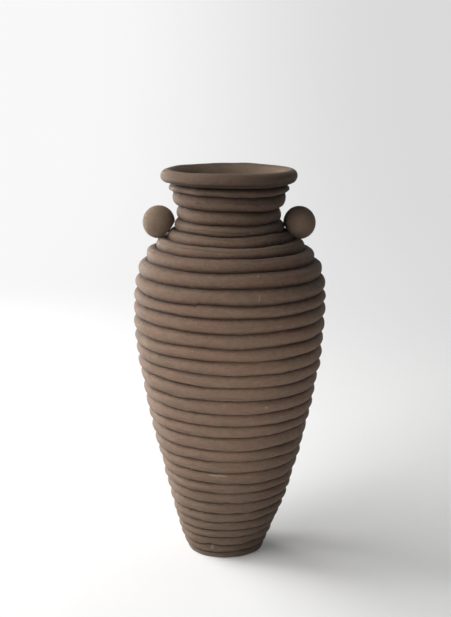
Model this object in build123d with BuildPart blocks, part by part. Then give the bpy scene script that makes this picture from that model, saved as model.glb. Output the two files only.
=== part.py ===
"""Coil-built clay amphora: a base slab, ring coils stacked up the wall, a rolled rim and two ball lugs.

Every coil is a rope of clay closed into a ring. Outside it is left round, inside it is smeared flat, and it
meets the coil below on a narrow cone, square to the wall. Frame: millimetres, +Z up, the foot stands on
Z = 0 with its centre at the origin, and the two ball lugs lie along X.
"""

from build123d import *

import os

# Outline of the wall, as (radius, height): the line that touches every coil on its fattest part.
FOOT_EDGE = (39.5, 3.8)
FOOT_TAPER = (48.2, 24.0)
LOWER_WALL = (60.0, 60.0)
MID_WALL = (71.7, 102.0)
UNDER_BELLY = (85.7, 162.0)
BELLY = (95.0, 216.0)
WIDEST = (97.4, 264.0)
SHOULDER = (92.2, 299.4)
SHOULDER_SLOPE = (76.4, 323.0)
NECK_ROOT = (56.5, 340.5)
NECK = (53.0, 354.0)
UPPER_NECK = (57.1, 367.5)
RIM_ROOT = (60.6, 386.0)
OUTLINE = (
    FOOT_EDGE,
    FOOT_TAPER,
    LOWER_WALL,
    MID_WALL,
    UNDER_BELLY,
    BELLY,
    WIDEST,
    SHOULDER,
    SHOULDER_SLOPE,
    NECK_ROOT,
    NECK,
    UPPER_NECK,
    RIM_ROOT,
)

# Height of each coil, measured along the outline, from the foot up.
FOOT_COILS = (9.5, 11.5, 9, 10.5, 11, 12.5, 12.5, 11)
TAPER_COILS = (13.5, 13, 12.5, 15, 12.5, 13.5, 14, 15)
BELLY_COILS = (13, 14, 13.5, 15, 15, 12.5)
SHOULDER_COILS = (16.5, 17.5, 16.5, 14.5, 12, 9.5)
NECK_COILS = (11.5, 15, 10.5)
COIL_HEIGHTS = FOOT_COILS + TAPER_COILS + BELLY_COILS + SHOULDER_COILS + NECK_COILS

GROOVE_SHARE = 0.29  # depth of a groove, over the mean height of the coils beside it
WALL = 12.0  # from the outline to the smeared inner wall

# Base slab.
FOOT_RADIUS = 35.5
SLAB_EDGE = 1.7  # from the outline's lower end to the slab's groove

# Rim: one coil rolled over the mouth, with its inner side smeared down into the neck.
RIM_RADIUS = 7.6
RIM_LEAN = 24  # how far out, round the rim's section, its centre stands over the groove below it
LIP_ANGLE = 140  # from straight outwards to where the round of the lip turns into the inner flare

# Ball lugs, pressed onto the shoulder beside the neck.
BALL_RADIUS = 16.2
BALL_OFFSET = 70.8
BALL_HEIGHT = 345.3

FOLDER = "parts"


def wall_point(along, inset):
    """The point that lies along mm up the outline and inset mm inside it, as (radius, height)."""
    share = along / outline.length
    uphill = outline.tangent_at(share)
    outward = Vector(uphill.Z, 0, -uphill.X)
    point = outline.position_at(share) - outward * inset
    return point.X, point.Z


def make_joints():
    """The lower joint of each coil, and the rim's, as the (groove, inner wall) points of its section."""
    heights = (COIL_HEIGHTS[0], *COIL_HEIGHTS, COIL_HEIGHTS[-1])
    joints = []
    along = SLAB_EDGE
    for below, above in zip(heights, heights[1:]):
        depth = GROOVE_SHARE * (below + above) / 2
        joints.append((wall_point(along, depth), wall_point(along, WALL)))
        along += above
    return joints


def make_base_slab(joint):
    """The flat disc that the pot stands on, with a rounded edge and a cone for the first coil."""
    groove, inner = joint
    with BuildPart() as slab:
        with BuildSketch(Plane.XZ):
            with BuildLine():
                Line((0, 0), (FOOT_RADIUS, 0))
                ThreePointArc((FOOT_RADIUS, 0), FOOT_EDGE, groove)
                Polyline(groove, inner, (0, inner[1]), (0, 0))
            make_face()
        revolve(axis=Axis.Z)
    return slab.part


def make_coil(joint_below, joint_above, fattest):
    """One ring of the wall, from the joint below it to the joint above it."""
    (low_groove, low_inner), (high_groove, high_inner) = joint_below, joint_above
    with BuildPart() as coil:
        with BuildSketch(Plane.XZ):
            with BuildLine():
                ThreePointArc(low_groove, fattest, high_groove)
                Polyline(high_groove, high_inner, low_inner, low_groove)
            make_face()
        revolve(axis=Axis.Z)
    return coil.part


def make_rim(joint):
    """The rolled rim: round outside and on top, flared inside down to the neck's inner wall."""
    groove, inner = joint
    centre = Vector(groove) + Vector(0, RIM_RADIUS).rotate(Axis.Z, -RIM_LEAN)
    outside = centre + Vector(RIM_RADIUS, 0)
    lip = centre + Vector(RIM_RADIUS, 0).rotate(Axis.Z, LIP_ANGLE)
    with BuildPart() as rim:
        with BuildSketch(Plane.XZ):
            with BuildLine():
                ThreePointArc(groove, outside, lip)
                Polyline(lip, inner, groove)
            make_face()
        revolve(axis=Axis.Z)
    return rim.part


def make_ball(side, neighbours):
    """A ball lug, with its seat shaped by the coils that it is pressed against."""
    with BuildPart() as ball:
        with Locations((side * BALL_OFFSET, 0, BALL_HEIGHT)):
            Sphere(BALL_RADIUS, rotation=(0, 0, 90))
        add(neighbours, mode=Mode.SUBTRACT)
    return ball.part


def write_part(name, part):
    part.label = name
    export_step(part, f"{FOLDER}/{name}.step")


with BuildLine(Plane.XZ) as outline_line:
    Spline(*OUTLINE)
outline = outline_line.edge()

os.makedirs(FOLDER, exist_ok=True)
joints = make_joints()
write_part("base_slab", make_base_slab(joints[0]))

coils = []
along = SLAB_EDGE
for below, above, height in zip(joints, joints[1:], COIL_HEIGHTS):
    coils.append(make_coil(below, above, wall_point(along + height / 2, 0)))
    along += height
for number, coil in enumerate(coils, start=1):
    write_part(f"coil_{number:02d}", coil)
write_part("rim_coil", make_rim(joints[-1]))

seat_coils = [coil for coil in coils if coil.bounding_box().max.Z > BALL_HEIGHT - BALL_RADIUS]
write_part("left_ball_lug", make_ball(-1, seat_coils))
write_part("right_ball_lug", make_ball(1, seat_coils))
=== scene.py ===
"""Looks of the coil-built clay amphora: uneven hand-rolled coils, rolled rim, pressed-on balls and raw clay.

Every ring is made from the section of the CAD ring that it replaces, and every ball from the box of the CAD
ball. Metres, +Z up, the front is -Y.
"""

import math

import bpy
import numpy as np
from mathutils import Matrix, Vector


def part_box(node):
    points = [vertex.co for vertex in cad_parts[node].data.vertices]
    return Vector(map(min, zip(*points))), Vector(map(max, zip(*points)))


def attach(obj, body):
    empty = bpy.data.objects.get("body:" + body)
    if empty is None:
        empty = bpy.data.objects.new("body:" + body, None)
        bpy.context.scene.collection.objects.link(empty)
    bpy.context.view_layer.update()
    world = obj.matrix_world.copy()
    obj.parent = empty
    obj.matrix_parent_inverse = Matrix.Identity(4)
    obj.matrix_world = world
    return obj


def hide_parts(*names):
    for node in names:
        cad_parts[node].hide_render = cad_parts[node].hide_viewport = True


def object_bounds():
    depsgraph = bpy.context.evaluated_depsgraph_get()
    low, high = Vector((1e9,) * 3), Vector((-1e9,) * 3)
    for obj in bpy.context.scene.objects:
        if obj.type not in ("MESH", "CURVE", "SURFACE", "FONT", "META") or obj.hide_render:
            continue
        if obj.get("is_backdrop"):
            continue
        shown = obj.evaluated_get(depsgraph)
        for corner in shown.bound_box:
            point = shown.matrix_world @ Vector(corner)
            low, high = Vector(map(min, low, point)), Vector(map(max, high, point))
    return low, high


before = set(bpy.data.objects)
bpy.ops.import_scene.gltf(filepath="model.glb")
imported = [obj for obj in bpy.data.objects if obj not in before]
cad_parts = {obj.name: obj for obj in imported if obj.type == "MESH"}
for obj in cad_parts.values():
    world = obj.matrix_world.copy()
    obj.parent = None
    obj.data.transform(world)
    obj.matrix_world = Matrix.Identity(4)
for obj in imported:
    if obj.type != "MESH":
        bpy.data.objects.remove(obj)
cad_low, cad_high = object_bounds()

MM = 0.001
SEED = 31

# Mesh: vertices round the pot, and rows of them round a coil's section.
AROUND = 512
OUTER_ROWS = 28
FACE_ROWS = 3
INNER_ROWS = 7
FLAT_ROWS = np.array((0.12, 0.3, 0.5, 0.7, 0.85, 0.94, 0.98))  # on the slab, as shares of its radius

# Half the arc that a coil's section bulges through outside, and the bend from which an edge is shaded sharp.
CROWN_ARC = math.radians(64)
SHARP_ANGLE = math.radians(50)

# Unevenness of the hand-rolled coils.
JOINT_WOBBLE = 0.30 * MM
JOINT_TREMBLE = 0.06 * MM
GROOVE_UNEVEN = 0.36 * MM
CREST_UNEVEN = 0.28 * MM
LUMPS = 0.07 * MM
STREAKS = 0.035 * MM
CREST_TILT = 0.35 * MM
INNER_UNEVEN = 0.5 * MM
FOOT_UNEVEN = 0.25 * MM
FLOOR_UNEVEN = 0.3 * MM
SLAB_UNEVEN = 0.6  # of a coil's unevenness

# Shortest and longest waves of the lumps and of the streaks, along the coils and across them, in metres.
LUMP_WAVES = ((0.014, 0.05), (0.008, 0.03))
STREAK_WAVES = ((0.008, 0.03), (0.0012, 0.0035))

# Places where a groove is smeared shut (out above 0), gapes (below 0) or steps up or down the wall:
# joint, direction in degrees to the right of the front, half width in millimetres, up, out.
JOINT_MARKS = (
    (23, -72, 34, 0.0, 1.0),
    (24, -72, 32, 0.0, 1.2),
    (25, -72, 30, 0.0, 1.3),
    (26, -64, 26, 0.0, 1.0),
    (30, 78, 22, 1.9, 0.0),
    (30, -82, 16, -1.2, 0.0),
    (1, -23, 5, 0.5, -0.8),
    (4, 1, 5, 0.3, -0.9),
    (6, -3, 3, 0.7, -0.3),
    (8, 6, 6, 0.2, -1.0),
    (9, -10, 15, 0.3, 0.8),
    (13, 24, 14, 0.2, 0.6),
    (2, 20, 16, 0.0, 0.6),
    (5, 12, 22, 0.1, 0.6),
    (7, -2, 14, 0.0, 0.7),
    (10, 22, 18, -0.2, 0.7),
    (11, 4, 24, 0.1, 0.8),
    (12, -14, 16, 0.0, 0.6),
    (14, 12, 22, 0.0, 0.9),
    (16, 15, 26, 0.2, 1.5),
    (17, 2, 18, 0.0, 0.9),
    (19, -40, 12, -0.3, 0.5),
    (21, 48, 15, 0.4, 0.4),
    (22, -42, 30, -0.6, -0.4),
    (25, 20, 40, 0.0, 0.8),
    (26, -12, 40, 0.0, 0.7),
    (27, 35, 20, 0.3, 0.5),
    (5, 118, 14, 0.5, 0.7),
    (7, -150, 18, -0.4, 0.8),
    (11, 176, 22, 0.3, 1.1),
    (14, -112, 16, -0.5, 0.6),
    (18, 140, 26, 0.2, 1.3),
    (20, -165, 20, 0.5, 0.8),
    (24, 160, 35, -0.4, 0.9),
)

# How far the grooves are pressed in deeper, as (joint, millimetres): least near the foot, most under the rim.
GROOVE_DEPTHS = ((0, 0.25), (8, 0.35), (14, 0.55), (20, 0.8), (24, 0.9), (26, 1.0), (28, 1.3))

# How fast a groove's dark fades towards the crest, as (ring, power): fast in the foot, slow in the neck.
GROOVE_FADES = ((4, 3.0), (12, 2.5), (20, 1.35), (28, 0.8))

# Where the front was smoothed over with a palm: direction and half width in degrees, the share of it at each
# joint, how far the grooves are filled there, and how much less dark they are.
PALM = (10, 25)
PALM_LEVELS = ((1, 0.0), (4, 1.0), (18, 1.0), (22, 0.0))
PALM_FILL = 0.70 * MM
PALM_CLEAN = 0.42

# Places where a coil's two ends were joined, so that its upper groove steps: joint, direction in degrees, and
# the step on the left and on the right in millimetres. A step fades over STEP_REACH metres.
STEP_REACH = 0.018
JOINT_STEPS = (
    (22, -19, -0.7, 0.6),
    (6, -3, -0.3, 0.4),
    (27, 12, 0.2, -0.3),
    (12, 61, 0.4, -0.4),
    (20, 104, -0.5, 0.5),
    (10, -128, 0.4, -0.6),
    (15, 158, -0.6, 0.4),
    (29, -156, 0.4, -0.4),
    (3, 168, 0.4, -0.3),
)

# Tool and finger marks on a ring: ring, direction in degrees, place across it (-1 low to 1 high), half length
# in millimetres, half height as a share of the section, out in millimetres, and how pale (above 0) or dark.
MARKS = (
    # The pale ledge under joint 9 is partly wear and partly a painted highlight.
    (9, -9, 0.74, 9, 0.10, 0.40, 1.0),
    (1, -23, 0.55, 1.6, 0.30, -0.7, 0.0),
    (1, -19, 0.50, 1.2, 0.30, 0.2, 0.9),
    (30, -31, 0.20, 4.0, 0.09, -0.55, -0.5),
    (30, -27, 0.38, 5.0, 0.09, 0.25, 0.4),
    (30, 6, -0.55, 9, 0.16, -0.30, -0.2),
    (15, 24, 0.20, 1.2, 0.16, 0.25, 0.9),
    (24, 17, 0.45, 0.9, 0.14, 0.15, 0.8),
    (23, 17, -0.10, 0.8, 0.30, 0.10, 0.6),
    (28, 30, 0.10, 7, 0.22, -0.35, -0.2),
    (26, -36, -0.35, 10, 0.20, -0.40, -0.1),
    (19, -64, 0.10, 10, 0.30, -0.45, 0.1),
    (13, -31, -0.40, 12, 0.16, -0.35, -0.2),
    (12, 38, 0.35, 13, 0.14, -0.40, -0.1),
    (7, 14, -0.30, 9, 0.18, -0.35, -0.2),
    (31, -35, -0.2, 9, 0.20, 0.30, 0.2),
    (17, 112, 0.15, 12, 0.25, -0.50, 0.0),
    (25, 150, -0.20, 14, 0.18, -0.45, -0.1),
    (11, -104, 0.30, 11, 0.20, -0.45, 0.1),
    (22, -140, -0.25, 13, 0.22, -0.50, 0.0),
    (8, 92, 0.20, 8, 0.25, -0.40, 0.1),
    (27, -172, 0.0, 12, 0.25, -0.40, 0.0),
)

# Faint second lines where the clay was smoothed over, all the way round, mostly on the shoulder: ring, place
# across it, depth in millimetres, half height.
FAINT_LINES = (
    (25, 0.42, 0.45, 0.10),
    (24, 0.62, 0.25, 0.09),
    (26, -0.05, 0.55, 0.13),
    (27, 0.10, 0.50, 0.14),
    (28, -0.25, 0.40, 0.12),
    (30, 0.35, 0.20, 0.10),
    (31, 1.00, 0.10, 0.55),
    (16, -0.35, 0.12, 0.12),
)

# How the soft pot settled: slope to the right of each level, as (height, fall per metre to the right).
SIDE_SLOPES = (
    (0.000, 0.0),
    (0.006, -0.045),
    (0.035, -0.030),
    (0.060, -0.005),
    (0.090, 0.010),
    (0.120, 0.005),
    (0.160, 0.014),
    (0.200, 0.026),
    (0.240, 0.012),
    (0.300, 0.006),
    (0.340, 0.014),
    (0.358, 0.026),
    (0.373, 0.036),
    (0.384, 0.014),
    (0.391, -0.003),
    (0.399, -0.005),
)
# Shift of each level to the right, and how much its right half swells out, as (height, millimetres).
SIDE_SHIFTS = (
    (0.000, -3.7),
    (0.020, -3.2),
    (0.045, -1.6),
    (0.070, -0.4),
    (0.110, 0.2),
    (0.150, 0.0),
    (0.260, 0.0),
    (0.300, 0.7),
    (0.325, 0.7),
    (0.345, -0.3),
    (0.370, -0.5),
    (0.385, -0.4),
    (0.398, -0.4),
)
SIDE_SWELLS = ((0.230, 0.0), (0.262, 0.8), (0.300, 1.4), (0.325, 1.3), (0.345, 0.2), (0.380, 0.0))
SWELL_REACH = 0.085  # from the axis to where the swell is full

# The rim tips back, by this fall per metre to the back, and sinks. Both grow over these heights.
RIM_TIP = 0.023
RIM_DROP = 0.1 * MM
RIM_TIP_HEIGHTS = (0.352, 0.388)

# The rolled rim: how much slimmer its roll is than the CAD model's, all round and on the right.
RIM_SLIMMER = 0.6 * MM
RIM_SLIMMER_RIGHT = 0.8 * MM
RIM_ROWS = 44
RIM_END = math.radians(128)  # where the roll turns into the inner flare
RIM_SEAT = -0.72  # the roll is drawn onto its joint from -1, its lower edge, to here
RIM_WAVER = 0.14 * MM
RIM_UNEVEN = 0.10 * MM
RIM_SHADE = (math.radians(-52), math.radians(-10))  # the groove's dark fades between these
RIM_WIPES = 0.10 * MM
WIPE_WAVES = ((0.004, 0.012), (0.02, 0.08))  # round the rim and down the flare
WIPE_DIRECTION = np.array((0.75, 0.66))  # as (radius, height)
FLARE_PALE = 0.14

# Clay colours, linear.
OLIVE_CLAY = (0.102, 0.0730, 0.0515, 1)
RED_CLAY = (0.120, 0.0675, 0.0495, 1)
DUSTY_CLAY = (0.155, 0.109, 0.079, 1)
DARK_CLAY = (0.051, 0.034, 0.024, 1)
# Dark colour of the grooves, partly dirt and partly painted shade; also used for dark pits and dark marks.
GROOVE_DIRT_AND_SHADE = (0.035, 0.020, 0.014, 1)
RUBBED_AND_HIGHLIGHT_CLAY = (0.33, 0.26, 0.20, 1)

# Painted shade by height: how much darker the clay is made at each height, most at the rim, less at the neck
# and the foot.
HEIGHT_SHADE_LEVELS = (
    (0.0, 0.16),
    (0.03, 0.03),
    (0.08, 0.0),
    (0.325, 0.0),
    (0.345, 0.08),
    (0.372, 0.10),
    (0.386, 0.36),
)

UNDER_SHADE = 0.2  # how dark the slab is underneath, where a groove is 1

# How strongly each layer colours the clay.
MOTTLE_DUST = 0.66
STREAK_DUST = 0.42
GRAIN_DARK = 0.50
CREST_DUST_AND_HIGHLIGHT = 0.35
GROOVE_DARK = 0.86
HEIGHT_SHADE_DARK = 0.75
RUB_AND_HIGHLIGHT_PALE = 0.55
RUB_DARK = 0.8
FLECK_PALE = 0.45
PIT_DARK = 0.55

# How much the clay's tone differs: from coil to coil, along a coil, in the slab and from ball to ball. A tone
# of 1 adds TONE_STEP to the noise that makes the patches.
COIL_TONES = 0.6
TONE_WAVER = 0.4
SLAB_TONE = 0.5
BALL_TONES = 0.3
TONE_STEP = 0.035

# The fine relief of the surface.
BUMP_STRENGTH = 0.75
BUMP_DEPTH = 0.8 * MM

turn = np.linspace(0.0, 2 * math.pi, AROUND, endpoint=False)  # 0 is the front, growing to the right
rng = np.random.default_rng(SEED)


def read_off(table, where):
    """What a table of (where, how much) pairs says at a place, or at each of many."""
    return np.interp(where, *np.array(table).T)


def waves(low, high, size, fall=0.6):
    """A random closed curve round the pot, of low to high whole waves, with size as its spread."""
    orders = np.arange(low, high + 1)
    strengths = rng.normal(size=orders.size) / orders**fall
    phases = rng.uniform(0, 2 * math.pi, orders.size)
    curve = strengths @ np.cos(orders[:, None] * turn + phases[:, None])
    return size * curve / math.sqrt((strengths**2).sum() / 2)


def rough(co, along, across, size, count=40):
    """A random surface over points in space, with waves of these lengths along the coils and across them."""
    heading = rng.uniform(0, 2 * math.pi, count)
    flat = 2 * math.pi / rng.uniform(*along, count)
    steep = 2 * math.pi / rng.uniform(*across, count)
    vectors = np.stack((flat * np.cos(heading), flat * np.sin(heading), steep))
    phases = rng.uniform(0, 2 * math.pi, count)
    return size * math.sqrt(2 / count) * np.cos(co @ vectors + phases).sum(axis=-1)


def clay_lumps(co):
    """The lumps of rolled clay, with finer streaks along the coils."""
    return rough(co, *LUMP_WAVES, LUMPS) + rough(co, *STREAK_WAVES, STREAKS)


def smooth(value, low, high):
    """A smooth step from 0 at low to 1 at high."""
    share = np.clip((value - low) / (high - low), 0, 1)
    return share * share * (3 - 2 * share)


def away(direction):
    """How far each direction round the pot is from the given one, in radians, from -pi to pi."""
    return (turn - direction + math.pi) % (2 * math.pi) - math.pi


def palm(number):
    """How much the palm smoothed a joint, in each direction."""
    direction, half_width = np.radians(PALM)
    return read_off(PALM_LEVELS, number) * np.exp(-((away(direction) / half_width) ** 4))


def section(node):
    """The (radius, height) points of a CAD ring's section, in metres."""
    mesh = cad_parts[node].data
    co = np.empty(len(mesh.vertices) * 3, np.float32)
    mesh.vertices.foreach_get("co", co)
    x, y, z = co.reshape(-1, 3).astype(float).T
    return np.unique(np.column_stack((np.hypot(x, y), z)).round(5), axis=0)


def shared_joint(below, above):
    """The (groove, inner wall) points of the cone on which two rings of the CAD model meet."""
    gaps = np.linalg.norm(below[:, None] - above[None], axis=2).min(axis=1)
    shared = below[gaps < 0.03 * MM]
    return shared[shared[:, 0].argmax()], shared[shared[:, 0].argmin()]


def unit(vector):
    """Vectors scaled to a length of 1."""
    return vector / np.linalg.norm(vector, axis=-1, keepdims=True)


def outward_of(chord):
    """The direction square to an uphill chord, away from the axis."""
    return np.stack((chord[..., 1], -chord[..., 0]), axis=-1)


def settle(co):
    """Moves points as the soft pot settled: the foot to one side, the levels aslant, the rim tipped back."""
    x, y, z = co.T
    shift = read_off(SIDE_SHIFTS, z) + read_off(SIDE_SWELLS, z) * smooth(x, 0.0, SWELL_REACH)
    drop = read_off(SIDE_SLOPES, z) * x + smooth(z, *RIM_TIP_HEIGHTS) * (RIM_TIP * y + RIM_DROP)
    return np.column_stack((x + shift * MM, y, z - drop))


def mesh_piece(name, co, faces, marks, node):
    """A closed mesh in place of a CAD node, with each of its marks as one number for each vertex."""
    mesh = bpy.data.meshes.new(name)
    sizes = np.concatenate([np.full(len(group), group.shape[1]) for group in faces])
    corners = np.concatenate([group.ravel() for group in faces])
    mesh.vertices.add(len(co))
    mesh.vertices.foreach_set("co", co.astype(np.float32).ravel())
    mesh.loops.add(len(corners))
    mesh.loops.foreach_set("vertex_index", corners.astype(np.int32))
    mesh.polygons.add(len(sizes))
    mesh.polygons.foreach_set("loop_start", np.concatenate(([0], np.cumsum(sizes)[:-1])).astype(np.int32))
    mesh.update(calc_edges=True)
    mesh.polygons.foreach_set("use_smooth", np.ones(len(sizes), bool))
    mesh.set_sharp_from_angle(angle=SHARP_ANGLE)
    # Painted shade by height, kept with the marks.
    marks["height_shade"] = read_off(HEIGHT_SHADE_LEVELS, co[:, 2])
    for mark, values in marks.items():
        layer = mesh.attributes.new(mark, "FLOAT", "POINT")
        layer.data.foreach_set("value", values.astype(np.float32).ravel())
    piece = bpy.data.objects.new(name, mesh)
    bpy.context.scene.collection.objects.link(piece)
    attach(piece, "root")
    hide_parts(node)
    mesh.materials.append(clay)
    return piece


def grid_faces(rows, columns, closed):
    """Quads between neighbouring rows of a grid of closed rows, facing out when the rows run uphill."""
    row = np.arange(rows if closed else rows - 1)[:, None]
    column = np.arange(columns)[None]
    beside = (column + 1) % columns
    upper = (row + 1) % rows
    corners = (
        row * columns + column,
        row * columns + beside,
        upper * columns + beside,
        upper * columns + column,
    )
    return np.stack(np.broadcast_arrays(*corners), axis=-1).reshape(-1, 4)


def fan_faces(first, columns, centre, facing_up):
    """Triangles that close a row of vertices with one at its centre."""
    column = np.arange(columns)
    beside = (column + 1) % columns
    ring = (first + column, first + beside) if facing_up else (first + beside, first + column)
    return np.stack((*ring, np.full(columns, centre)), axis=-1)


def in_space(rows):
    """Turns (row, turn, radius and height) into points."""
    radius, height = rows[..., 0], rows[..., 1]
    return np.stack((radius * np.sin(turn), -radius * np.cos(turn), height), axis=-1)


def place(rows):
    """Turns (row, turn, radius and height) into points of the settled pot."""
    return settle(in_space(rows).reshape(-1, 3))


# ---------------------------------------------------------------- wall

coil_nodes = sorted(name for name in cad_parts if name.startswith("coil_"))
ring_nodes = ["base_slab", *coil_nodes, "rim_coil"]
sections = {node: section(node) for node in ring_nodes}


class Joint:
    """The line round the pot where two rings meet: its groove outside and its trace on the inner wall."""

    def __init__(self, number, below, above):
        groove, inner = shared_joint(sections[below], sections[above])
        self.groove, self.inner = groove, inner
        self.outward = unit(groove - inner)
        self.uphill = np.array((-self.outward[1], self.outward[0]))
        up = waves(2, 7, JOINT_WOBBLE, 1.0) + waves(10, 50, JOINT_TREMBLE)
        out = waves(2, 16, GROOVE_UNEVEN) + waves(25, 90, 0.4 * GROOVE_UNEVEN)
        out = out - read_off(GROOVE_DEPTHS, number) * MM + palm(number) * PALM_FILL
        for at_joint, direction, half_width, mark_up, mark_out in JOINT_MARKS:
            if at_joint != number:
                continue
            share = np.exp(-((away(math.radians(direction)) * groove[0] / (half_width * MM)) ** 4))
            up = up + share * mark_up * MM
            out = out + share * mark_out * MM
        for at_joint, direction, left, right in JOINT_STEPS:
            if at_joint != number:
                continue
            reach = away(math.radians(direction)) * groove[0]
            up = up + np.where(reach < 0, left, right) * MM * np.exp(-np.abs(reach) / STEP_REACH)
        self.up = up[:, None] * self.uphill
        self.out = out[:, None] * self.outward
        self.groove_line = groove + self.up + self.out
        self.inner_line = inner + 0.5 * self.up + waves(1, 12, INNER_UNEVEN)[:, None] * self.outward


def marked(number, across, radius):
    """How far the marks on a ring push its surface out, and how pale they make it."""
    push, pale = np.zeros((2, len(across), AROUND))
    for on_ring, direction, place_on, length, height, out, rub_and_highlight in MARKS:
        if on_ring != number:
            continue
        along = away(math.radians(direction)) * radius / (length * MM)
        shape = np.exp(-(along**4) - (((across - place_on) / height) ** 2)[:, None])
        push += shape * out * MM
        pale += shape * rub_and_highlight
    for on_ring, place_on, depth, height in FAINT_LINES:
        if on_ring != number:
            continue
        sway = place_on + waves(1, 8, 0.08)
        strength = np.clip(0.75 + waves(1, 6, 0.35), 0, 1.4)
        shape = strength * np.exp(-(((across[:, None] - sway) / height) ** 2))
        push -= shape * depth * MM
        pale -= 0.35 * shape
    return push, pale


def crown(number, points, low, high, uneven):
    """Rows of a ring's round outside, from its lower groove up, with how hollow and how pale they are."""
    chord = high.groove - low.groove
    outward = unit(outward_of(chord))
    rise = ((points - low.groove) @ outward).max()
    swing = np.linspace(-CROWN_ARC, CROWN_ARC, OUTER_ROWS + 1)
    across = np.sin(swing) / math.sin(CROWN_ARC)
    bulge = (np.cos(swing) - math.cos(CROWN_ARC)) / (1 - math.cos(CROWN_ARC))
    share = ((1 + across) / 2)[:, None, None]
    rows = low.groove + share * chord + bulge[:, None, None] * rise * outward
    rows = rows + (1 - share) * low.up + share * high.up + (1 - share) ** 3 * low.out + share**3 * high.out
    thick = bulge[:, None] * uneven * waves(2, 14, CREST_UNEVEN)
    tilt = (bulge * across)[:, None] * uneven * waves(1, 6, CREST_TILT)
    lumps = clay_lumps(in_space(rows))
    push, pale = marked(number, across, high.groove[0])
    rows = rows + (thick + tilt + push + np.sqrt(bulge)[:, None] * uneven * lumps)[..., None] * outward
    # How deep in its groove each row lies: this sets the groove's dirt and painted shade.
    hollow = (1 - bulge[:, None]) ** read_off(GROOVE_FADES, number)
    return rows, hollow * (1 - PALM_CLEAN * palm(number)), pale


def between(start, end, rows):
    """Rows strictly between two lines."""
    share = np.arange(1, rows + 1) / (rows + 1)
    return start + share[:, None, None] * (end - start)


def inner_rows(high, low, high_slope, low_slope):
    """Rows of the smeared inner wall, from its upper line to its lower one, bending smoothly at both."""
    share = np.linspace(0, 1, INNER_ROWS + 1)[:, None, None]
    height = np.linalg.norm(high - low, axis=-1, keepdims=True)
    start, stop = -high_slope * height, -low_slope * height
    return (
        (2 * share**3 - 3 * share**2 + 1) * high
        + (share**3 - 2 * share**2 + share) * start
        + (3 * share**2 - 2 * share**3) * low
        + (share**3 - share**2) * stop
    )


def make_coil(number, low, high, low_slope, high_slope):
    """One rope of clay, closed into a ring between its two joints."""
    node = ring_nodes[number]
    outer, outer_hollow, outer_pale = crown(number, sections[node], low, high, 1.0)
    inner = inner_rows(high.inner_line, low.inner_line, high_slope, low_slope)
    rows = np.concatenate(
        (
            outer,
            between(high.groove_line, high.inner_line, FACE_ROWS),
            inner,
            between(low.inner_line, low.groove_line, FACE_ROWS),
        )
    )
    hollow, pale = np.ones((len(rows), AROUND)), np.zeros((len(rows), AROUND))
    hollow[: len(outer)], pale[: len(outer)] = outer_hollow, outer_pale
    hollow[len(outer) + FACE_ROWS : len(outer) + FACE_ROWS + len(inner)] = 0.0
    tone = np.broadcast_to(rng.normal() * COIL_TONES + waves(1, 5, TONE_WAVER), hollow.shape)
    marks = {"hollow": hollow, "pale": pale, "tone": tone}
    faces = [grid_faces(len(rows), AROUND, closed=True)]
    return mesh_piece(node.replace("coil", "wall_coil"), place(rows), faces, marks, node)


class Foot:
    """The lower edge of the base slab's round side, where it meets the table."""

    def __init__(self, radius):
        self.groove = np.array((radius, 0.0))
        self.up = np.zeros((AROUND, 2))
        self.out = waves(2, 12, FOOT_UNEVEN)[:, None] * np.array((1.0, 0.0))


def make_slab(high):
    """The flat disc that the pot stands on, with its round edge and the pot's floor."""
    points = sections["base_slab"]
    low = Foot(points[points[:, 1] < 0.1 * MM][:, 0].max())
    outer, outer_hollow, outer_pale = crown(0, points, low, high, SLAB_UNEVEN)
    under = outer[0] * FLAT_ROWS[:, None, None]
    under[..., 1] = 0.0
    inward = np.tile(FLAT_ROWS[::-1, None], AROUND)
    floor = high.inner_line * np.stack((inward, np.ones(inward.shape)), axis=-1)
    floor[..., 1] += rough(in_space(floor), (0.01, 0.04), (0.01, 0.04), FLOOR_UNEVEN) * (1 - inward)
    rows = np.concatenate(
        (under, outer, between(high.groove_line, high.inner_line, FACE_ROWS), high.inner_line[None], floor)
    )
    hollow, pale = np.ones((len(rows), AROUND)), np.zeros((len(rows), AROUND))
    hollow[: len(under)] = UNDER_SHADE
    hollow[len(under) : len(under) + len(outer)] = outer_hollow
    pale[len(under) : len(under) + len(outer)] = outer_pale
    hollow[-len(floor) - 1 :] = 0.0
    co = place(rows)
    ends = np.array(((co[:AROUND, 0].mean(), 0, 0), (*co[-AROUND:].mean(axis=0),)))
    tone = np.full(len(co) + 2, rng.normal() * SLAB_TONE)
    hollow, pale = np.append(hollow.ravel(), (UNDER_SHADE, 0.0)), np.append(pale.ravel(), (0, 0))
    marks = {"hollow": hollow, "pale": pale, "tone": tone}
    last = (len(rows) - 1) * AROUND
    faces = [
        grid_faces(len(rows), AROUND, closed=False),
        fan_faces(0, AROUND, len(co), facing_up=False),
        fan_faces(last, AROUND, len(co) + 1, facing_up=True),
    ]
    return mesh_piece("foot_slab", np.vstack((co, ends)), faces, marks, "base_slab")


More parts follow.
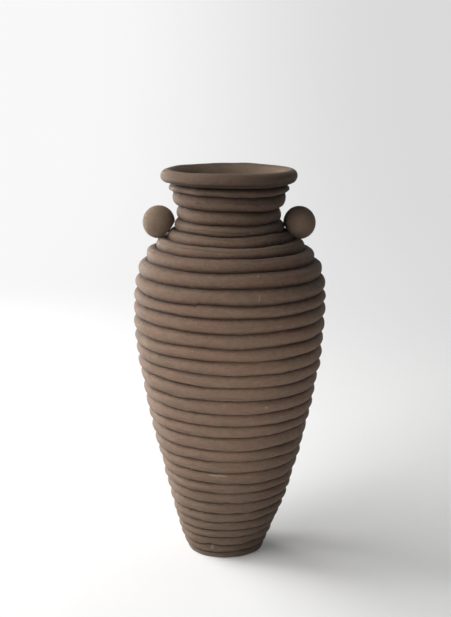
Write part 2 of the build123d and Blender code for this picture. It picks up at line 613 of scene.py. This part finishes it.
def make_rim(low, low_slope):
    """The rope rolled over the mouth, and the flare wiped down inside it."""
    points = sections["rim_coil"]
    centre = np.array((points[points[:, 1].argmax()][0], points[points[:, 0].argmax()][1]))
    radius = points[:, 1].max() - centre[1]
    centre = centre + np.array((RIM_SLIMMER, RIM_SLIMMER))
    radius -= RIM_SLIMMER
    start = math.atan2(*(low.groove - centre)[::-1])
    swing = np.linspace(start, RIM_END, RIM_ROWS)
    across = np.linspace(-1, 1, len(swing))
    hub = centre + np.stack((waves(2, 5, RIM_WAVER), waves(2, 7, RIM_WAVER)), axis=-1)
    slimmer = RIM_SLIMMER_RIGHT * smooth(np.sin(turn), 0.2, 1.0)
    hub[:, 0] += slimmer
    round_out = np.stack((np.cos(swing), np.sin(swing)), axis=-1)[:, None]
    lumps = clay_lumps(in_space(hub + radius * round_out))
    roll = hub + (radius - slimmer + waves(2, 12, RIM_UNEVEN) + lumps)[..., None] * round_out
    roll = roll + (1 - smooth(across, -1, RIM_SEAT))[:, None, None] * (low.groove_line - roll[0])
    inward = np.array((-math.sin(swing[-1]), math.cos(swing[-1])))
    flare = inner_rows(roll[-1], low.inner_line, -inward, low_slope)[1:]
    share = np.linspace(0, 1, len(flare) + 1)[1:]
    wipes = rough(in_space(flare), *WIPE_WAVES, RIM_WIPES) * np.sin(math.pi * share)[:, None]
    flare = flare + wipes[..., None] * WIPE_DIRECTION
    rows = np.concatenate((roll, flare, between(low.inner_line, low.groove_line, FACE_ROWS)))
    hollow = np.ones((len(rows), AROUND))
    # The roll's underside darkened: painted shade under the rolled rim.
    hollow[: len(roll)] = 1 - smooth(swing, *RIM_SHADE)[:, None]
    hollow[len(roll) : len(roll) + len(flare)] = 0.0
    pale = np.zeros(hollow.shape)
    pale[len(roll) : len(roll) + len(flare)] = FLARE_PALE
    marks = {"hollow": hollow, "pale": pale, "tone": np.broadcast_to(waves(1, 5, TONE_WAVER), hollow.shape)}
    faces = [grid_faces(len(rows), AROUND, closed=True)]
    return mesh_piece("rolled_rim", place(rows), faces, marks, "rim_coil")


# ---------------------------------------------------------------- balls

BALL_AROUND = 160
BALL_ROWS = 110
BALL_STRETCH = 1.03
BALL_PRESS = 0.4 * MM  # how far it sinks past the line through the coils' crests
BALL_LUMPS = 0.16 * MM
BALL_WAVES = (0.03, 0.08)
BALL_GRAIN = 0.2 * BALL_LUMPS
BALL_GRAIN_WAVES = (0.003, 0.012)


def make_ball(name, node, wall, drop, pale, tone):
    """A lumpy ball, set drop lower than in the CAD model and flattened against the wall's crests."""
    low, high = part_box(node)
    centre = np.array((low + high) / 2)
    radius = (high - low).z / 2
    polar = np.linspace(0, math.pi, BALL_ROWS + 2)[1:-1, None]
    spin = np.linspace(0, 2 * math.pi, BALL_AROUND, endpoint=False)[None]
    axes = np.broadcast_arrays(np.sin(polar) * np.sin(spin), -np.sin(polar) * np.cos(spin), -np.cos(polar))
    grid = np.stack(axes, axis=-1).reshape(-1, 3)
    directions = np.vstack((grid, (0, 0, -1), (0, 0, 1)))
    size = radius + rough(radius * directions, BALL_WAVES, BALL_WAVES, BALL_LUMPS)
    size = size + rough(radius * directions, BALL_GRAIN_WAVES, BALL_GRAIN_WAVES, BALL_GRAIN)
    co = centre - np.array((0, 0, drop)) + directions * size[:, None] * np.array((1, 1, BALL_STRETCH))

    # How far each point lies outside the line through the crests, below 0 where the ball would cut into it.
    radial = unit(co[:, :2])
    flat = np.column_stack((np.linalg.norm(co[:, :2], axis=1), co[:, 2]))
    starts, chords = wall[:-1], wall[1:] - wall[:-1]
    share = ((flat[:, None] - starts) * chords).sum(axis=2) / (chords**2).sum(axis=1)
    nearest = starts + np.clip(share, 0, 1)[..., None] * chords
    normals = unit(outward_of(chords))
    depth = ((flat[:, None] - nearest) * normals).sum(axis=2)
    closest = np.linalg.norm(flat[:, None] - nearest, axis=2).argmin(axis=1)
    pick = np.arange(len(flat))
    push = np.clip(-BALL_PRESS - depth[pick, closest], 0, None)[:, None] * normals[closest]
    co[:, :2] += radial * push[:, :1]
    co[:, 2] += push[:, 1]
    co += settle(centre[None]) - centre

    plain = np.ones(len(co))
    marks = {"hollow": 0 * plain, "pale": pale * plain, "tone": (tone + BALL_TONES * rng.normal()) * plain}
    faces = [
        grid_faces(BALL_ROWS, BALL_AROUND, closed=False),
        fan_faces(0, BALL_AROUND, len(grid), facing_up=False),
        fan_faces(len(grid) - BALL_AROUND, BALL_AROUND, len(grid) + 1, facing_up=True),
    ]
    return mesh_piece(name, co, faces, marks, node)


# ---------------------------------------------------------------- clay


class Surface:
    """A material's nodes, written as calls: each adds a node, sets its inputs and gives one output."""

    def __init__(self, name):
        self.material = bpy.data.materials.new(name)
        self.material.use_nodes = True
        self.tree = self.material.node_tree
        self.tree.nodes.clear()

    def add(self, kind, output=0, inputs=None, **settings):
        node = self.tree.nodes.new(kind)
        for key, value in settings.items():
            setattr(node, key, value)
        for key, value in (inputs or {}).items():
            socket = node.inputs[key]
            if isinstance(value, bpy.types.NodeSocket):
                self.tree.links.new(value, socket)
            else:
                socket.default_value = value
        return node.outputs[output]

    def math(self, operation, first, second=0.0, third=0.0, clamp=False):
        inputs = {0: first, 1: second, 2: third}
        return self.add("ShaderNodeMath", inputs=inputs, operation=operation, use_clamp=clamp)

    def ramp(self, value, low, high, to_low=0.0, to_high=1.0):
        inputs = {0: value, 1: low, 2: high, 3: to_low, 4: to_high}
        return self.add("ShaderNodeMapRange", inputs=inputs, interpolation_type="SMOOTHSTEP")

    def mix(self, factor, first, second):
        return self.add("ShaderNodeMix", 2, {0: factor, 6: first, 7: second}, data_type="RGBA")

    def noise(self, vector, scale, detail=3.0, roughness=0.5, distortion=0.0):
        inputs = {"Vector": vector, "Scale": scale, "Detail": detail}
        inputs |= {"Roughness": roughness, "Distortion": distortion}
        return self.add("ShaderNodeTexNoise", "Fac", inputs)

    def spots(self, vector, scale, reach, choice_scale, choice):
        """Spots that fade out over a reach in their cells, in the cells that a noise chooses."""
        inputs = {"Vector": vector, "Scale": scale}
        cells = self.add("ShaderNodeTexVoronoi", "Distance", inputs, feature="F1")
        chosen = self.ramp(self.noise(vector, choice_scale, 1.0), *choice)
        return self.math("MULTIPLY", self.ramp(cells, *reach), chosen)

    def attribute(self, name):
        return self.add("ShaderNodeAttribute", "Fac", attribute_name=name)

    def finish(self, shader):
        """Links the shader to the output, and gives the material."""
        output = self.tree.nodes.new("ShaderNodeOutputMaterial")
        self.tree.links.new(shader, output.inputs["Surface"])
        return self.material


def make_clay():
    """Unglazed taupe clay: patchy colour, crests paler with dust and a painted highlight, grooves darkened
    with dirt and painted shade, painted shade by height, streaks and a fine sandy grain.
    """
    t = Surface("fired_clay")
    place_on = t.add("ShaderNodeTexCoord", "Object")
    flattened = t.add("ShaderNodeMapping", inputs={"Vector": place_on, "Scale": (1.0, 1.0, 2.6)})
    streaked = t.add("ShaderNodeMapping", inputs={"Vector": place_on, "Scale": (1.0, 1.0, 8.0)})
    hollow, pale, tone, height_shade = (t.attribute(name) for name in ("hollow", "pale", "tone", "height_shade"))

    patches = t.noise(flattened, 26.0, 3.0, 0.55, 0.5)
    mottle = t.noise(flattened, 130.0, 4.0, 0.65)
    streaks = t.noise(streaked, 55.0, 4.0, 0.6)
    grain = t.noise(place_on, 1100.0, 3.0, 0.6)

    # Patches of olive and red clay, redder higher up, and redder on the right as a painted tint of the shaded
    # side.
    height_on = t.add("ShaderNodeSeparateXYZ", "Z", {0: place_on})
    side_on = t.add("ShaderNodeSeparateXYZ", "X", {0: place_on})
    patches = t.math("MULTIPLY_ADD", t.ramp(side_on, -0.03, 0.09), 0.05, patches)
    red = t.ramp(t.math("MULTIPLY_ADD", tone, TONE_STEP, patches), 0.40, 0.62)
    red = t.math("MULTIPLY", red, t.ramp(height_on, 0.04, 0.20, 0.1, 1.0))
    colour = t.mix(red, OLIVE_CLAY, RED_CLAY)

    # Dust, streaks and sand, then what the marks say.
    colour = t.mix(t.ramp(mottle, 0.40, 0.62, 0.0, MOTTLE_DUST), colour, DUSTY_CLAY)
    colour = t.mix(t.ramp(streaks, 0.45, 0.70, 0.0, STREAK_DUST), colour, DUSTY_CLAY)
    colour = t.mix(t.ramp(grain, 0.36, 0.64, 0.0, GRAIN_DARK), colour, DARK_CLAY)
    # Crests made paler, partly with dust and partly with a painted highlight.
    crest = t.math("MULTIPLY", t.ramp(hollow, 0.30, 0.0), CREST_DUST_AND_HIGHLIGHT)
    colour = t.mix(crest, colour, DUSTY_CLAY)
    # The grooves darkened, partly with dirt and partly with painted shade.
    colour = t.mix(t.ramp(hollow, 0.10, 0.95, 0.0, GROOVE_DARK), colour, GROOVE_DIRT_AND_SHADE)
    # Painted shade by height: the rim, the neck and the foot made darker.
    colour = t.mix(t.math("MULTIPLY", height_shade, HEIGHT_SHADE_DARK, clamp=True), colour, DARK_CLAY)
    # Pale marks: mostly wear, and on the ledge under joint 9 partly a painted highlight.
    colour = t.mix(t.math("MULTIPLY", pale, RUB_AND_HIGHLIGHT_PALE, clamp=True), colour, RUBBED_AND_HIGHLIGHT_CLAY)
    colour = t.mix(t.math("MULTIPLY", pale, -RUB_DARK, clamp=True), colour, GROOVE_DIRT_AND_SHADE)

    pale_fleck = t.spots(place_on, 230.0, (0.15, 0.09), 290.0, (0.63, 0.68))
    colour = t.mix(t.math("MULTIPLY", pale_fleck, FLECK_PALE), colour, RUBBED_AND_HIGHLIGHT_CLAY)
    dark_pit = t.spots(place_on, 330.0, (0.20, 0.12), 170.0, (0.58, 0.66))
    colour = t.mix(t.math("MULTIPLY", dark_pit, PIT_DARK), colour, GROOVE_DIRT_AND_SHADE)

    # Grain, streaks, lumps and pits in the surface.
    height = t.math("MULTIPLY", t.noise(place_on, 800.0, 5.0, 0.65), 0.30)
    height = t.math("MULTIPLY_ADD", t.noise(streaked, 150.0, 4.0, 0.6), 0.55, height)
    height = t.math("MULTIPLY_ADD", mottle, 0.6, height)
    height = t.math("MULTIPLY_ADD", dark_pit, -0.5, height)
    relief = {"Height": height, "Strength": BUMP_STRENGTH, "Distance": BUMP_DEPTH}
    shader = t.add(
        "ShaderNodeBsdfPrincipled",
        "BSDF",
        {
            "Base Color": colour,
            "Roughness": t.ramp(streaks, 0.3, 0.7, 0.78, 0.95),
            "Specular IOR Level": 0.16,
            "Sheen Weight": 0.03,
            "Sheen Roughness": 0.6,
            "Normal": t.add("ShaderNodeBump", "Normal", relief),
        },
    )
    return t.finish(shader)


clay = make_clay()

joints = [Joint(number, *pair) for number, pair in enumerate(zip(ring_nodes, ring_nodes[1:]))]
inner_slopes = unit(np.gradient(np.array([joint.inner for joint in joints]), axis=0))
crests = []
for number in range(1, len(ring_nodes) - 1):
    low, high = joints[number - 1], joints[number]
    make_coil(number, low, high, inner_slopes[number - 1], inner_slopes[number])
    points = sections[ring_nodes[number]]
    crests.append(points[((points - low.groove) @ outward_of(high.groove - low.groove)).argmax()])
make_slab(joints[0])
make_rim(joints[-1], inner_slopes[-1])

wall = np.array(crests)
make_ball("left_ball", "left_ball_lug", wall, drop=2.3 * MM, pale=0.34, tone=-1.5)
make_ball("right_ball", "right_ball_lug", wall, drop=0.5 * MM, pale=0.48, tone=2.5)


# ---------------------------------------------------------------- studio

# The room round the pot: the paper, the floor beyond it, and a wall that bends up out of the floor.
ROOM_AROUND = 96
PAPER_RINGS = np.array((0.3, 0.6, 0.9))
FLOOR_RINGS = np.array((0.9, 1.6))
BEND_START = 2.4
BEND_RADIUS = 1.2
BEND_ROWS = 17
WALL_TOP = 3.4

# Its colours: the paper fades into the wall's glow between two distances, from a little glow beside the pot.
PAPER_WHITE = (0.74, 0.755, 0.78, 1)
PAPER_FADE = (0.35, 1.5)
PAPER_GLOW = 0.12
WALL_WHITE = (1.0, 1.0, 1.0, 1)
WALL_GLOW = (0.94, 0.70)  # brighter on the window's side
GLOW_FADE = (-0.5, 0.6)  # from left to right
AIR_BLUE = (0.95, 0.97, 1.0, 1)
AIR_GLOW = 0.02

# Lights.
WINDOW_TINT = (1.02, 1.0, 0.96)
FILL_TINT = (1.12, 1.0, 0.92)
POT_MIDDLE = 0.2

# Camera.
CAMERA_DISTANCE = 1.428
CAMERA_PITCH = math.radians(12.3)
CAMERA_TARGET = (-0.0038, 0.0, 0.64 * cad_high.z)
CAMERA_LENS = 81.7
CAMERA_SENSOR = 36.0


def make_paper():
    """Matt white paper that fades into a glowing white wall away from the pot: painted light, brighter on the
    window's side, with a little of it on the paper beside the pot.
    """
    t = Surface("white_paper")
    place_on = t.add("ShaderNodeNewGeometry", "Position")
    distance = t.add("ShaderNodeVectorMath", "Value", {0: place_on}, operation="LENGTH")
    far = t.ramp(distance, *PAPER_FADE, PAPER_GLOW)
    paper = t.add("ShaderNodeBsdfDiffuse", inputs={"Color": PAPER_WHITE})
    across = t.add("ShaderNodeSeparateXYZ", "X", {0: place_on})
    glow = t.ramp(across, *GLOW_FADE, *WALL_GLOW)
    wall = t.add("ShaderNodeEmission", inputs={"Color": WALL_WHITE, "Strength": glow})
    return t.finish(t.add("ShaderNodeMixShader", inputs={0: far, 1: paper, 2: wall}))


def make_studio(name, radius, height):
    """Rings of the room, from the inside out. A flat floor is closed in its middle."""
    spin = np.linspace(0, 2 * math.pi, ROOM_AROUND, endpoint=False)
    out, up = radius[:, None], height[:, None]
    axes = np.broadcast_arrays(out * np.sin(spin), -out * np.cos(spin), up)
    co = np.stack(axes, axis=-1).reshape(-1, 3)
    faces = grid_faces(len(radius), len(spin), closed=False)[:, ::-1].tolist()
    if height[-1] == 0:
        faces.append(list(range(len(spin))))
    mesh = bpy.data.meshes.new(name)
    mesh.from_pydata(co.tolist(), [], faces)
    mesh.polygons.foreach_set("use_smooth", np.ones(len(mesh.polygons), bool))
    piece = bpy.data.objects.new(name, mesh)
    bpy.context.scene.collection.objects.link(piece)
    mesh.materials.append(paper)
    piece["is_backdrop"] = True
    return piece


def aim(thing, place_at, target):
    """Puts a light or the camera at a place, looking at a target."""
    thing.location = place_at
    direction = np.array(target, float) - np.array(place_at, float)
    thing.rotation_mode = "QUATERNION"
    thing.rotation_quaternion = Vector(direction).to_track_quat("-Z", "Y")


def make_light(name, direction, rise, distance, size, power, colour, target=POT_MIDDLE, spread=180.0):
    """A square soft light, in a direction from the pot (degrees to the right of the front) and so far up."""
    data = bpy.data.lights.new(name, "AREA")
    data.shape = "SQUARE"
    data.size = size
    data.energy = power
    data.color = colour
    data.spread = math.radians(spread)
    light = bpy.data.objects.new(name, data)
    light.visible_camera = False
    bpy.context.scene.collection.objects.link(light)
    side, up = math.radians(direction), math.radians(rise)
    ahead = np.array((math.sin(side) * math.cos(up), -math.cos(side) * math.cos(up), math.sin(up)))
    aim(light, tuple(distance * ahead + np.array((0, 0, POT_MIDDLE))), (0, 0, target))


paper = make_paper()
make_studio("studio_floor", PAPER_RINGS, 0 * PAPER_RINGS)
bend = np.linspace(0, math.pi / 2, BEND_ROWS)
wall_radius = np.hstack((FLOOR_RINGS, BEND_START + BEND_RADIUS * np.sin(bend), BEND_START + BEND_RADIUS))
wall_height = np.hstack((0 * FLOOR_RINGS, BEND_RADIUS * (1 - np.cos(bend)), WALL_TOP))
studio_wall = make_studio("studio_wall", wall_radius, wall_height)
studio_wall.visible_diffuse = False
studio_wall.visible_shadow = False

# Direction, rise, distance, size, power, tint, target height and spread of each light.
make_light("window", -110, 20, 2.2, 1.2, 56.0, WINDOW_TINT)
make_light("window_high", -75, 52, 2.2, 1.2, 26.0, WINDOW_TINT)
make_light("window_front", -45, 35, 2.2, 1.2, 20.0, WINDOW_TINT)
make_light("window_low", -140, 4, 2.2, 0.8, 58.0, WINDOW_TINT)
make_light("back_right", 140, 25, 2.2, 1.2, 6.0, WINDOW_TINT)
make_light("room", -30, 25, 2.2, 1.2, 1.6, FILL_TINT)
make_light("belly_left", -35, 6, 1.2, 0.25, 0.060, FILL_TINT, 0.16, 12.0)
make_light("belly_right", 27, -4, 1.2, 0.2, 0.028, FILL_TINT, 0.19, 9.0)
make_light("table_right", 32, -12, 0.8, 0.2, 0.012, FILL_TINT, 0.20, 12.0)
make_light("table_glow", -15, -14, 0.7, 0.25, 0.16, FILL_TINT, 0.25, 60.0)

world = bpy.data.worlds.new("studio_air")
world.use_nodes = True
background = world.node_tree.nodes["Background"]
background.inputs["Color"].default_value = AIR_BLUE
background.inputs["Strength"].default_value = AIR_GLOW
bpy.context.scene.world = world
bpy.context.scene.view_settings.view_transform = "Standard"

camera_data = bpy.data.cameras.new("camera")
camera_data.lens = CAMERA_LENS
camera_data.sensor_width = CAMERA_SENSOR
camera = bpy.data.objects.new("camera", camera_data)
bpy.context.scene.collection.objects.link(camera)
offset = (0.0, -CAMERA_DISTANCE * math.cos(CAMERA_PITCH), CAMERA_DISTANCE * math.sin(CAMERA_PITCH))
aim(camera, tuple(a + b for a, b in zip(CAMERA_TARGET, offset)), CAMERA_TARGET)
bpy.context.scene.camera = camera

low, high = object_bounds()
